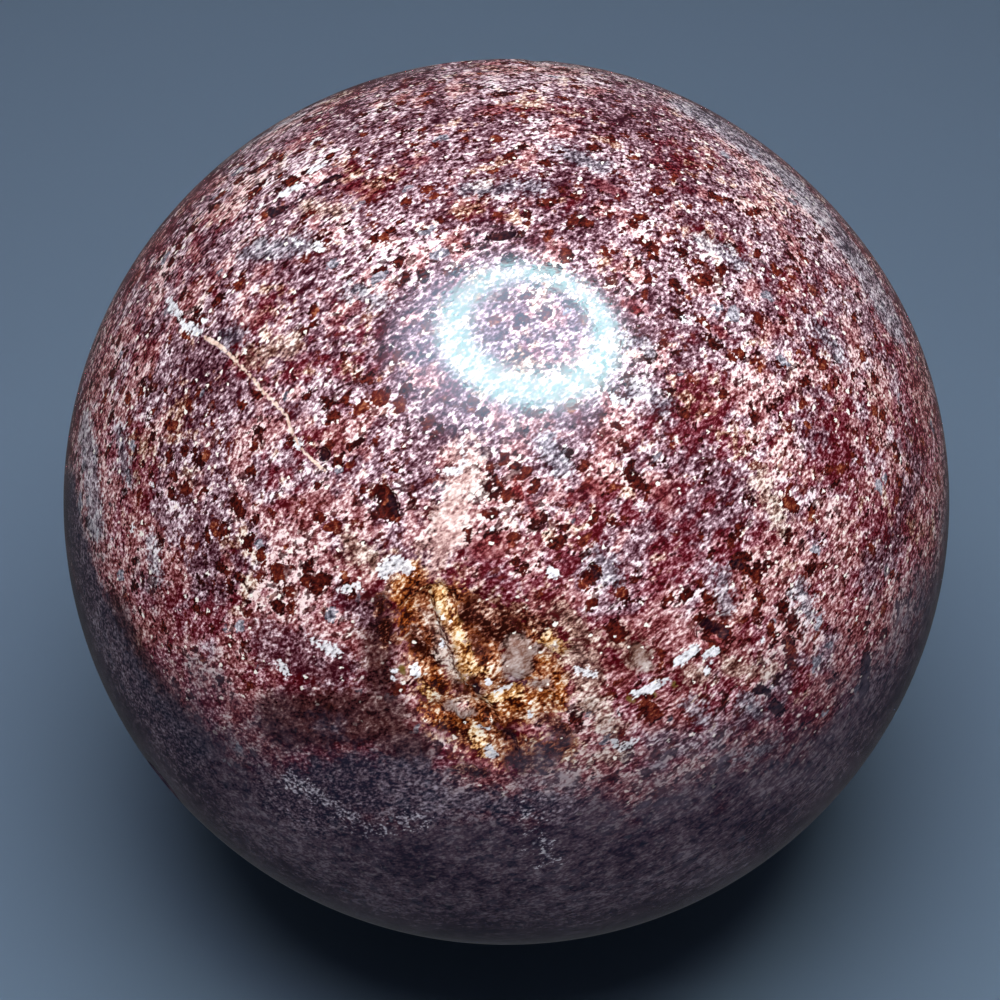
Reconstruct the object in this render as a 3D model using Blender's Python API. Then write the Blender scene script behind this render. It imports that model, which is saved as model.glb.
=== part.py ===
"""A polished ball of garnet-bearing rock that rests on a small flat spot.

Metres, +Z up. The origin is the middle of the flat spot on the underside.
The marked face of the ball, with its pits and its rusty hollow, looks towards -Y and 44 degrees up.
"""
import math
import random

import bmesh
import bpy
from mathutils import Matrix, Vector, noise

MM = 0.001

BALL_RADIUS = 30.0 * MM
FOOT_RADIUS = 6.0 * MM
CENTRE_HEIGHT = math.sqrt(BALL_RADIUS ** 2 - FOOT_RADIUS ** 2)
FACE_ELEVATION = math.radians(44)

# Lengths of the edges of the mesh: on the plain polished skin, and where there is fine relief
PLAIN_EDGE = 2.6 * MM
HOLLOW_EDGE = 0.78 * MM
CREST_EDGE = 1.4 * MM
FOOT_EDGE = 1.2 * MM
RIM_SNAP = 0.4
PIT_EDGE_SHARE = 0.55
EDGE_GROWTH = 1.1

# Places on the marked face are millimetres right and up of its middle, as one looks straight at it.
# A pit is its place, its half length and half width, its turn in degrees from level, and its depth.
FACE_PITS = {
    "round pit at the vein's end": ((-10.9, 2.8), 0.50, 0.48, 0, 0.55),
    "garnet socket": ((-7.1, 0.0), 1.20, 0.70, 105, 0.35),
    "ringed garnet": ((4.9, -4.4), 0.70, 0.55, 60, 0.30),
    "dark hollow at the right": ((12.4, -7.5), 1.15, 0.85, 20, 0.40),
    "slit above the middle": ((-0.3, 16.1), 0.90, 0.42, 15, 0.35),
    "lower slit at the left": ((-13.8, 18.4), 1.25, 0.45, 28, 0.35),
    "upper slit at the left": ((-11.9, 19.9), 1.00, 0.40, 30, 0.35),
}
PIT_WALL_SHARE = 0.5
PIT_UNEVENNESS = 0.30
PIT_LUMP_SIZE = 0.9 * MM

# The rusty hollow is the union of shallow lobes: place, radius, depth and width of the wall
HOLLOW_LOBES = [
    ((-4.7, -6.3), 1.7, 0.50, 0.7),
    ((-4.4, -8.8), 1.7, 0.55, 0.7),
    ((-3.7, -11.4), 1.8, 0.60, 0.8),
    ((-2.3, -13.3), 2.0, 0.65, 0.9),
    ((-0.6, -14.8), 1.3, 0.55, 0.8),
    ((-0.9, -7.3), 2.0, 0.35, 1.4),
    ((1.0, -12.4), 2.2, 0.40, 1.6),
    ((2.9, -10.2), 1.6, 0.25, 1.6),
]
HOLLOW_HOLES = [
    ((0.2, -14.2), 0.55, 0.35, 0.5),
    ((-1.9, -11.1), 0.50, 0.35, 0.5),
    ((-4.3, -12.6), 0.45, 0.25, 0.4),
]
HOLLOW_MIDDLE = (-1.4, -10.6)
HOLLOW_REACH = 6.6 * MM
HOLLOW_ROUGHNESS = 0.22 * MM
HOLLOW_LUMP_SIZE = 1.3 * MM

# Hard crystal that stands up again inside the hollow: a ridge along its length and rounded heads
RIDGE = [(-4.0, -5.6), (-3.4, -7.6), (-2.7, -9.4), (-2.1, -10.6)]
RIDGE_HALF_WIDTH = 0.45 * MM
HEADS = [((0.4, -9.1), 1.15), ((-2.6, -12.6), 0.55), ((-1.2, -13.2), 0.50), ((1.4, -14.0), 0.55)]
HEAD_TOP = 0.05 * MM

# The crest behind the top of the face is rough where crystals broke out, and one shoulder is ground flatter
CREST_MIDDLE = (-1.0, 29.2)
CREST_REACH = 6.5 * MM
CREST_DEPTH = 0.30 * MM
CREST_LUMP_SIZE = 1.5 * MM
SHOULDER_MIDDLE = (19.5, 21.5)
SHOULDER_REACH = 15.0 * MM
SHOULDER_DEPTH = 0.22 * MM

# Small pits on the rest of the ball, away from the marked face and the foot
BACK_PIT_COUNT = 12
BACK_PIT_SEED = 7
BACK_PIT_HALF_LENGTH = (0.6, 1.2)
BACK_PIT_SLIMNESS = (0.45, 0.9)
BACK_PIT_DEPTH = (0.3, 0.45)
KEEP_OFF_FACE = math.radians(68)
KEEP_OFF_FOOT = math.radians(30)
KEEP_APART = math.radians(14)

STONE_COLOUR = (0.33, 0.13, 0.135, 1.0)
STONE_ROUGHNESS = 0.22

FACE_TURN = Matrix.Rotation(math.pi / 2 - FACE_ELEVATION, 3, "X")
FACE_AXIS = FACE_TURN @ Vector((0, 0, 1))
FACE_RIGHT = Vector((1, 0, 0))
DOWN = Vector((0, 0, -1))
FOOT_REACH = BALL_RADIUS * math.asin(FOOT_RADIUS / BALL_RADIUS)


def on_face(place):
    """Unit direction, from the ball's centre, of a place given in millimetres on the marked face."""
    right, up = place[0] * MM, place[1] * MM
    towards = math.sqrt(BALL_RADIUS ** 2 - right ** 2 - up ** 2)
    # Straight on, the face's up is +Y and its outward direction is +Z; the turn lays it at its slope
    return (FACE_TURN @ Vector((right, up, towards))).normalized()


def smooth_step(value):
    value = min(1.0, max(0.0, value))
    return value * value * (3 - 2 * value)


def along(direction, middle):
    """Distance over the ball's skin between two directions."""
    return BALL_RADIUS * direction.angle(middle)


def bowl(direction, lobe):
    """Depth of a round lobe at a direction: flat inside, with a smooth wall around its radius."""
    middle, radius, depth, wall = lobe
    inside = radius + wall / 2 - along(direction, middle)
    return depth * smooth_step(inside / wall)


def lobe_on_face(place, radius, depth, wall):
    return (on_face(place), radius * MM, depth * MM, wall * MM)


def make_pit(middle, half_length, half_width, turn, depth):
    """A broken-out grain: its middle, its two half axes as vectors over the skin, and its depth."""
    level = (FACE_RIGHT - middle * middle.dot(FACE_RIGHT)).normalized()
    lengthways = Matrix.Rotation(math.radians(turn), 3, middle) @ level
    return (middle, lengthways * half_length * MM, lengthways.cross(middle) * half_width * MM, depth * MM)


def pit_depth(direction, pit):
    middle, lengthways, sideways, depth = pit
    if along(direction, middle) > 2 * lengthways.length:
        return 0.0
    point = direction * BALL_RADIUS
    offset = point - middle * BALL_RADIUS
    reach = math.hypot(offset.dot(lengthways) / lengthways.length_squared,
                       offset.dot(sideways) / sideways.length_squared)
    reach += PIT_UNEVENNESS * noise.noise(point / PIT_LUMP_SIZE)
    return depth * smooth_step((1 + PIT_WALL_SHARE / 2 - reach) / PIT_WALL_SHARE)


def back_pits():
    """Seeded pits over the part of the ball that is neither the marked face nor the foot."""
    chance = random.Random(BACK_PIT_SEED)
    pits = []
    while len(pits) < BACK_PIT_COUNT:
        direction = Vector([chance.gauss(0, 1) for axis in range(3)]).normalized()
        half_length = chance.uniform(*BACK_PIT_HALF_LENGTH)
        half_width = half_length * chance.uniform(*BACK_PIT_SLIMNESS)
        turn = chance.uniform(0, 180)
        depth = chance.uniform(*BACK_PIT_DEPTH)
        clear = direction.angle(FACE_AXIS) > KEEP_OFF_FACE and direction.angle(DOWN) > KEEP_OFF_FOOT
        apart = all(direction.angle(pit[0]) > KEEP_APART for pit in pits)
        if clear and apart:
            pits.append(make_pit(direction, half_length, half_width, turn, depth))
    return pits


PITS = [make_pit(on_face(place), *shape) for place, *shape in FACE_PITS.values()] + back_pits()
LOBES = [lobe_on_face(*lobe) for lobe in HOLLOW_LOBES]
HOLES = [lobe_on_face(*hole) for hole in HOLLOW_HOLES]
HOLLOW = on_face(HOLLOW_MIDDLE)
RIDGE_LINE = [on_face(place) * BALL_RADIUS for place in RIDGE]
HEAD_BOWLS = [(on_face(place), radius * MM) for place, radius in HEADS]
CREST = on_face(CREST_MIDDLE)
SHOULDER = on_face(SHOULDER_MIDDLE)


def distance_to_ridge(point):
    """Shortest distance from a point to the ridge's line."""
    best = math.inf
    for start, end in zip(RIDGE_LINE, RIDGE_LINE[1:]):
        run = end - start
        share = min(1.0, max(0.0, (point - start).dot(run) / run.length_squared))
        best = min(best, (point - start - run * share).length)
    return best


def hollow_depth(direction):
    """Depth of the rusty hollow, with its rough floor, its small holes, its ridge and its crystal heads."""
    if along(direction, HOLLOW) > HOLLOW_REACH:
        return 0.0
    depth = max(bowl(direction, lobe) for lobe in LOBES)
    if depth <= 0.0:
        return 0.0
    point = direction * BALL_RADIUS
    share = min(1.0, depth / (2 * HOLLOW_ROUGHNESS))
    depth += share * HOLLOW_ROUGHNESS * noise.noise(point / HOLLOW_LUMP_SIZE)
    depth += share * max(bowl(direction, hole) for hole in HOLES)
    raised = smooth_step(1.5 - distance_to_ridge(point) / RIDGE_HALF_WIDTH)
    for middle, radius in HEAD_BOWLS:
        raised = max(raised, smooth_step(2.2 * (1 - along(direction, middle) / radius)))
    return max(0.0, depth + raised * (min(depth, HEAD_TOP) - depth))


def crest_depth(direction):
    """Chips on the rough crest: only the dips of the noise are cut."""
    share = smooth_step(1.6 * (1 - along(direction, CREST) / CREST_REACH))
    if share == 0.0:
        return 0.0
    dip = noise.noise(direction * BALL_RADIUS / CREST_LUMP_SIZE) + 0.25
    return share * CREST_DEPTH * max(0.0, dip)


def shoulder_depth(direction):
    return SHOULDER_DEPTH * smooth_step(1 - along(direction, SHOULDER) / SHOULDER_REACH)


def relief(direction):
    """How far the skin lies below the true ball at a direction."""
    pits = max(pit_depth(direction, pit) for pit in PITS)
    return max(pits, hollow_depth(direction)) + crest_depth(direction) + shoulder_depth(direction)


def edge_length(direction):
    """Longest edge that the mesh may have at a direction."""
    longest = PLAIN_EDGE
    for middle, lengthways, sideways, depth in PITS:
        fine = PIT_EDGE_SHARE * math.sqrt(lengthways.length * sideways.length)
        beyond = max(0.0, along(direction, middle) - 1.3 * lengthways.length)
        longest = min(longest, fine + EDGE_GROWTH * beyond)
    past_hollow = max(0.0, along(direction, HOLLOW) - HOLLOW_REACH)
    past_crest = max(0.0, along(direction, CREST) - CREST_REACH)
    past_foot = abs(along(direction, DOWN) - FOOT_REACH)
    longest = min(longest, HOLLOW_EDGE + EDGE_GROWTH * past_hollow)
    longest = min(longest, FOOT_EDGE + EDGE_GROWTH * past_foot)
    return min(longest, CREST_EDGE + EDGE_GROWTH * past_crest)


def is_long(edge):
    middle = (edge.verts[0].co + edge.verts[1].co).normalized()
    return edge.calc_length() > 1.35 * edge_length(middle)


def refine(mesh):
    """Split the edges that are too long, keeping every point on the true ball."""
    long_edges = [edge for edge in mesh.edges if is_long(edge)]
    while long_edges:
        bmesh.ops.subdivide_edges(mesh, edges=long_edges, cuts=1)
        bmesh.ops.triangulate(mesh, faces=[face for face in mesh.faces if len(face.verts) > 3])
        for vert in mesh.verts:
            vert.co = vert.co.normalized() * BALL_RADIUS
        long_edges = [edge for edge in mesh.edges if is_long(edge)]


def move_to_rim(vert):
    """Put a point on the outline of the foot, keeping its bearing."""
    bearing = Vector((vert.co.x, vert.co.y, 0)).normalized()
    vert.co = bearing * FOOT_RADIUS + DOWN * CENTRE_HEIGHT


def cut_foot(mesh):
    """Cut the underside off flat and close it; points close to the cut go to its outline first."""
    for vert in mesh.verts:
        if abs(along(vert.co.normalized(), DOWN) - FOOT_REACH) < RIM_SNAP * FOOT_EDGE:
            move_to_rim(vert)
    everything = mesh.verts[:] + mesh.edges[:] + mesh.faces[:]
    bmesh.ops.bisect_plane(
        mesh, geom=everything, dist=0.02 * MM,
        plane_co=(0, 0, -CENTRE_HEIGHT), plane_no=(0, 0, -1), clear_outer=True,
    )
    rim = [edge for edge in mesh.edges if edge.is_boundary]
    for edge in rim:
        edge.smooth = False
        for vert in edge.verts:
            move_to_rim(vert)
    bmesh.ops.contextual_create(mesh, geom=rim)


def make_ball():
    mesh = bmesh.new()
    bmesh.ops.create_icosphere(mesh, subdivisions=5, radius=BALL_RADIUS)
    refine(mesh)
    for vert in mesh.verts:
        direction = vert.co.normalized()
        vert.co = direction * (BALL_RADIUS - relief(direction))
    cut_foot(mesh)
    bmesh.ops.translate(mesh, verts=mesh.verts, vec=(0, 0, CENTRE_HEIGHT))
    bmesh.ops.recalc_face_normals(mesh, faces=mesh.faces)
    data = bpy.data.meshes.new("garnet_ball")
    mesh.to_mesh(data)
    mesh.free()
    data.shade_smooth()
    return data


def stone_material():
    material = bpy.data.materials.new("garnet_rock")
    material.use_nodes = True
    shader = material.node_tree.nodes["Principled BSDF"]
    shader.inputs["Base Color"].default_value = STONE_COLOUR
    shader.inputs["Roughness"].default_value = STONE_ROUGHNESS
    shader.inputs["Metallic"].default_value = 0.0
    return material


def main():
    for thing in list(bpy.data.objects):
        bpy.data.objects.remove(thing, do_unlink=True)
    ball = bpy.data.objects.new("garnet_ball", make_ball())
    ball.data.materials.append(stone_material())
    bpy.context.scene.collection.objects.link(ball)


main()
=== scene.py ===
"""The looks of a polished ball of garnet-bearing rock that rests on a small flat spot.

Metres, +Z up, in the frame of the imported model. The marked face looks towards -Y and 44 degrees up.
"""
import math
import random

import bmesh
import bpy
import numpy as np
from mathutils import Matrix, Vector, noise


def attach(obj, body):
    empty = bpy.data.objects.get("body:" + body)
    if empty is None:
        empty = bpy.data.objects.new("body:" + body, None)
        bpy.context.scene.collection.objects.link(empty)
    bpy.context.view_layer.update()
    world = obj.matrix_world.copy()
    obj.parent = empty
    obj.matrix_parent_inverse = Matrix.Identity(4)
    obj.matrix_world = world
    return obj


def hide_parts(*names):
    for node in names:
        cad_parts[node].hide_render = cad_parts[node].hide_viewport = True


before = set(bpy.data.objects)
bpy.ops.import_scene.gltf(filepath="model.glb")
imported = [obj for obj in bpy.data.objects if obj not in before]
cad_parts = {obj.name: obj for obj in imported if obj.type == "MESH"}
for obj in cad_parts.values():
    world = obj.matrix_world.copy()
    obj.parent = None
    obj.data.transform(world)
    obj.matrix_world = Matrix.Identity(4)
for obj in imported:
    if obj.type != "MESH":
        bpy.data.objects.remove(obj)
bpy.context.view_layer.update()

MM = 0.001

# The ball and its flat spot, as in the solid
BALL_RADIUS = 30.0 * MM
FOOT_RADIUS = 6.0 * MM
CENTRE_HEIGHT = math.sqrt(BALL_RADIUS ** 2 - FOOT_RADIUS ** 2)
FACE_ELEVATION = math.radians(44)
FACE_TURN = Matrix.Rotation(math.pi / 2 - FACE_ELEVATION, 3, "X")
FACE_RIGHT = Vector((1, 0, 0))
FACE_AXIS = FACE_TURN @ Vector((0, 0, 1))
DOWN = Vector((0, 0, -1))
FOOT_REACH = BALL_RADIUS * math.asin(FOOT_RADIUS / BALL_RADIUS)

# Lengths of the edges of the fine skin; an edge is split when it is longer than that by a share
SKIN_SUBDIVISIONS = 7
FACE_EDGE = 0.32 * MM
HOLLOW_EDGE = 0.15 * MM
PIT_EDGE = 0.13 * MM
CREST_EDGE = 0.30 * MM
FOOT_EDGE = 0.60 * MM
EDGE_GROWTH = 0.5
EDGE_EXCESS = 1.35
PIT_SURROUNDINGS = 1.3
FACE_REACH = 24.0 * MM
RIM_SNAP = 0.4
CUT_TOLERANCE = 0.01 * MM

# Places on the marked face are millimetres right and up of its middle, as one looks straight at it.
# A pit is its place, its half length and half width, its turn in degrees from level, and its depth.
FACE_PITS = {
    "round pit at the vein's end": ((-10.9, 2.8), 0.50, 0.48, 0, 0.55),
    "garnet socket": ((-7.1, 0.0), 1.20, 0.70, 105, 0.35),
    "ringed garnet": ((4.9, -4.4), 0.70, 0.55, 60, 0.30),
    "dark hollow at the right": ((12.4, -7.5), 1.15, 0.85, 20, 0.40),
    "slit above the middle": ((-0.3, 16.1), 0.90, 0.42, 15, 0.35),
    "lower slit at the left": ((-13.8, 18.4), 1.25, 0.45, 28, 0.35),
    "upper slit at the left": ((-11.9, 19.9), 1.00, 0.40, 30, 0.35),
}
PIT_WALL_SHARE = 0.5
PIT_UNEVENNESS = 0.30
PIT_LUMP_SIZE = 0.9 * MM
# The polish ends at this depth in the rusty hollow, and at this multiple of a pit's half axes
MATT_DEPTH = 0.06 * MM
MATT_RIM = 2.0

# The rusty hollow is the union of shallow lobes: place, radius, depth and width of the wall
HOLLOW_LOBES = [
    ((-4.7, -6.3), 1.7, 0.50, 0.7),
    ((-4.4, -8.8), 1.7, 0.55, 0.7),
    ((-3.7, -11.4), 1.8, 0.60, 0.8),
    ((-2.3, -13.3), 2.0, 0.65, 0.9),
    ((-0.6, -14.8), 1.3, 0.55, 0.8),
    ((-0.9, -7.3), 2.0, 0.35, 1.4),
    ((1.0, -12.4), 2.2, 0.40, 1.6),
    ((2.9, -10.2), 1.6, 0.25, 1.6),
]
HOLLOW_HOLES = [
    ((0.2, -14.2), 0.55, 0.35, 0.5),
    ((-1.9, -11.1), 0.50, 0.35, 0.5),
    ((-4.3, -12.6), 0.45, 0.25, 0.4),
]
HOLLOW_MIDDLE = (-1.4, -10.6)
HOLLOW_REACH = 6.6 * MM
HOLLOW_ROUGHNESS = 0.22 * MM
HOLLOW_LUMP_SIZE = 1.3 * MM

# Hard crystal that stands up again inside the hollow: a ridge along its length and rounded heads
RIDGE = [(-4.0, -5.6), (-3.4, -7.6), (-2.7, -9.4), (-2.1, -10.6)]
RIDGE_HALF_WIDTH = 0.45 * MM
RIDGE_STEEPNESS = 1.5
HEADS = [((0.4, -9.1), 1.15), ((-2.6, -12.6), 0.55), ((-1.2, -13.2), 0.50), ((1.4, -14.0), 0.55)]
HEAD_STEEPNESS = 2.2
HEAD_TOP = 0.05 * MM

# The crest behind the top of the face is rough where crystals broke out, and one shoulder is ground flatter
CREST_MIDDLE = (-1.0, 29.2)
CREST_REACH = 6.5 * MM
CREST_DEPTH = 0.30 * MM
CREST_LUMP_SIZE = 1.5 * MM
CREST_STEEPNESS = 1.6
CREST_CHIPPED = 0.25
SHOULDER_MIDDLE = (19.5, 21.5)
SHOULDER_REACH = 15.0 * MM
SHOULDER_DEPTH = 0.22 * MM

# Small pits on the rest of the ball, away from the marked face and the foot
BACK_PIT_COUNT = 12
BACK_PIT_SEED = 7
BACK_PIT_HALF_LENGTH = (0.6, 1.2)
BACK_PIT_SLIMNESS = (0.45, 0.9)
BACK_PIT_DEPTH = (0.3, 0.45)
KEEP_OFF_FACE = math.radians(68)
KEEP_OFF_FOOT = math.radians(30)
KEEP_APART = math.radians(14)

# The markings are strips and spots on the skin: a half width in millimetres and the places of its middle line
VEIN = [
    (0.15, [(-18.5, 10.1), (-17.3, 9.4)]),
    (0.11, [(-17.3, 9.4), (-15.9, 8.1), (-15.1, 7.3), (-14.5, 6.5), (-13.7, 5.8), (-13.0, 5.0)]),
    (0.12, [(-13.0, 5.0), (-12.6, 3.9), (-12.1, 3.1)]),
    (0.09, [(-12.1, 3.1), (-11.5, 2.5), (-10.7, 1.8)]),
    (0.06, [(-21.4, 12.8), (-22.6, 12.8), (-24.0, 12.5)]),
    (0.07, [(12.0, -10.0), (11.9, -11.2), (10.9, -12.2)]),
]
WHITE = [
    # the thick end of the vein
    (0.34, [(-21.2, 12.5), (-20.6, 11.9)]),
    (0.24, [(-20.6, 11.9), (-19.9, 11.0)]),
    (0.30, [(-19.7, 10.8), (-18.8, 10.4)]),
    (0.13, [(-18.6, 11.2), (-18.5, 11.1)]),
    # beads in the middle, and the bluish spot
    (0.16, [(-0.8, -1.5), (-0.8, -1.6)]),
    (0.22, [(2.6, -4.0), (2.9, -4.3)]),
    # crystals in the rusty hollow
    (0.12, [(-1.1, -10.5), (-1.0, -10.7)]),
    (0.16, [(1.4, -12.7), (1.5, -12.9)]),
    (0.14, [(-1.6, -13.6), (-1.2, -13.8)]),
    (0.27, [(-1.1, -15.0), (-0.8, -15.4)]),
    (0.22, [(-5.5, -9.9), (-5.4, -10.3)]),
    (0.16, [(-6.7, -10.0), (-6.7, -10.4)]),
    # a painted glint
    (0.15, [(-3.9, -8.5), (-3.8, -8.6)]),
    # the white patches at the right
    (0.28, [(7.7, -11.4), (8.4, -11.2)]),
    (0.24, [(8.9, -10.9), (9.7, -10.6)]),
    (0.32, [(10.2, -9.5), (10.7, -9.2), (11.2, -8.8)]),
    (0.26, [(11.9, -9.2), (12.5, -8.9)]),
    (0.16, [(12.2, -9.6), (12.0, -10.2)]),
    (0.13, [(15.4, -8.3), (15.4, -8.4)]),
    # two painted glints
    (0.15, [(6.5, -14.3), (6.5, -14.6)]),
    (0.13, [(6.6, -12.4), (6.7, -12.6)]),
    # over the slits at the upper left, and spots at the left
    (0.32, [(-13.9, 19.2), (-12.9, 19.6)]),
    (0.26, [(-12.2, 20.6), (-11.4, 21.0)]),
    (0.18, [(-25.9, -1.7), (-25.9, -2.6)]),
    (0.15, [(-17.6, -16.2), (-17.3, -16.3)]),
]
PALE = [
    # on the vein, above the cream patch, and the quartz at the top of the rust
    (0.22, [(-12.4, 3.6), (-12.2, 3.3)]),
    (0.16, [(-2.6, 3.5), (-2.4, 2.3)]),
    (0.30, [(-3.4, 1.8), (-2.7, 1.9)]),
    (0.46, [(-7.2, -4.1), (-6.5, -3.5)]),
    (0.35, [(-6.3, -3.5), (-5.8, -4.0)]),
    # the rest of the face
    (0.20, [(-15.7, 18.3), (-15.3, 18.4)]),
    (0.26, [(-12.3, 22.6), (-12.0, 22.9)]),
    (0.30, [(-11.6, 15.6), (-11.2, 15.3)]),
    (0.18, [(-12.9, 15.9), (-12.6, 15.8)]),
    (0.16, [(-23.1, -1.5), (-23.2, -1.9)]),
    (0.14, [(-21.8, 1.1), (-21.7, 0.9)]),
    (0.26, [(7.0, 5.8), (6.5, 5.9), (6.2, 6.1)]),
    (0.16, [(10.9, 10.7), (10.5, 10.9)]),
    (0.16, [(-9.9, -5.2), (-8.6, -4.9)]),
    (0.34, [(-10.8, -8.6), (-10.1, -8.9)]),
    (0.24, [(-13.5, -9.8), (-13.2, -10.2)]),
    (0.16, [(-11.7, -8.1), (-11.3, -8.3)]),
    (0.22, [(4.2, -9.9), (5.1, -10.2)]),
    (0.14, [(-0.6, -11.3), (0.2, -11.1)]),
    (0.24, [(7.0, -14.7), (7.6, -14.4)]),
]
SMOKY = [
    (1.50, [(-14.2, -8.6), (-12.4, -9.0), (-10.4, -9.8)]),
    (0.80, [(-9.6, -5.6), (-8.4, -6.6)]),
]
CRIMSON = [
    (0.62, [(-1.6, -2.8), (-0.5, -2.5)]),
    (0.50, [(3.8, 0.2), (5.2, 0.8)]),
    (0.30, [(0.6, 0.9), (1.6, -0.6)]),
    (0.42, [(8.6, 1.0), (9.3, 0.3)]),
    (0.36, [(13.0, 10.0), (12.4, 10.5)]),
    (0.36, [(7.3, 11.8), (8.1, 11.4)]),
    (0.50, [(-1.5, 24.4), (0.2, 24.7)]),
    (0.46, [(5.6, 19.4), (7.0, 18.8)]),
    (0.46, [(-9.6, 19.4), (-8.4, 18.8)]),
    (0.40, [(-5.8, 20.9), (-5.0, 20.9)]),
    (0.40, [(9.4, 21.2), (10.6, 20.4)]),
    (0.44, [(12.4, -8.3), (13.3, -8.2)]),
]
LAVENDER = [
    (0.52, [(12.8, -4.2), (13.0, -5.2), (13.2, -6.2)]),
    (0.46, [(14.2, -11.9), (15.2, -12.7)]),
    (0.29, [(-3.9, -12.5), (-2.5, -12.6)]),
    (0.70, [(2.3, 3.6), (3.1, 1.9)]),
    (0.58, [(17.7, -5.3), (18.6, -7.2)]),
    (0.58, [(5.5, -3.4), (6.2, -4.6)]),
    (0.46, [(11.0, -11.9), (11.9, -12.8)]),
    (0.58, [(-2.2, 18.9), (2.0, 19.0)]),
    (0.64, [(7.9, 6.6), (9.0, 5.7)]),
    (0.30, [(14.0, -15.8), (17.1, -14.8)]),
    (0.81, [(-15.8, 15.5), (-12.6, 15.6)]),
    (0.58, [(-9.3, 12.7), (-7.5, 12.0)]),
    (0.58, [(11.8, 15.9), (14.2, 14.6)]),
    (0.70, [(3.3, 21.6), (5.7, 20.6)]),
    (0.58, [(19.3, 10.6), (20.6, 8.7)]),
    (0.52, [(-24.2, 4.5), (-23.5, 1.4)]),
    (0.46, [(-21.9, -2.4), (-21.3, -4.8)]),
    (1.25, [(-27.3, 4.8), (-26.6, 2.7), (-26.3, 0.7), (-26.1, -1.2)]),
    (0.50, [(7.5, 9.5), (8.4, 9.2)]),
    (0.60, [(-19.4, 22.0), (-16.9, 23.7), (-14.1, 25.1)]),
    (0.70, [(-16.2, 10.0), (-16.9, 9.9)]),
    (2.20, [(12.6, 25.4), (17.6, 22.0), (21.6, 17.4), (24.6, 12.2)]),
]
TAN = [
    (0.58, [(10.9, -10.3), (11.7, -10.6)]),
    (0.52, [(13.2, -9.9), (16.0, -10.3)]),
    (0.75, [(4.9, -11.7), (6.2, -13.3)]),
    (0.40, [(5.2, -15.4), (6.6, -15.2)]),
    (0.70, [(6.7, -8.1), (7.9, -9.1)]),
    (0.58, [(3.1, -6.4), (4.9, -8.1)]),
    (0.70, [(-9.2, -2.5), (-7.9, -3.4)]),
    (0.58, [(-15.4, 8.5), (-12.9, 9.4)]),
    (0.46, [(-12.4, 18.3), (-10.1, 17.5)]),
    (0.58, [(15.1, 1.3), (16.4, -1.1)]),
    (0.95, [(4.2, -9.0), (4.8, -10.4)]),
    (0.45, [(-3.9, -7.8), (-3.5, -9.1), (-3.3, -10.2)]),
    (0.46, [(-4.8, -6.8), (-4.5, -7.2)]),
]
BELT_CRYSTALS = [
    (0.30, [(-13.3, -17.0), (-12.3, -17.6), (-11.0, -18.3)]),
    (0.05, [(-10.6, -18.7), (-9.4, -19.7), (-8.2, -20.2)]),
    (0.15, [(-6.6, -19.6), (-5.6, -19.2)]),
    (0.02, [(1.3, -18.5), (2.0, -20.3), (2.5, -22.2)]),
]
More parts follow.
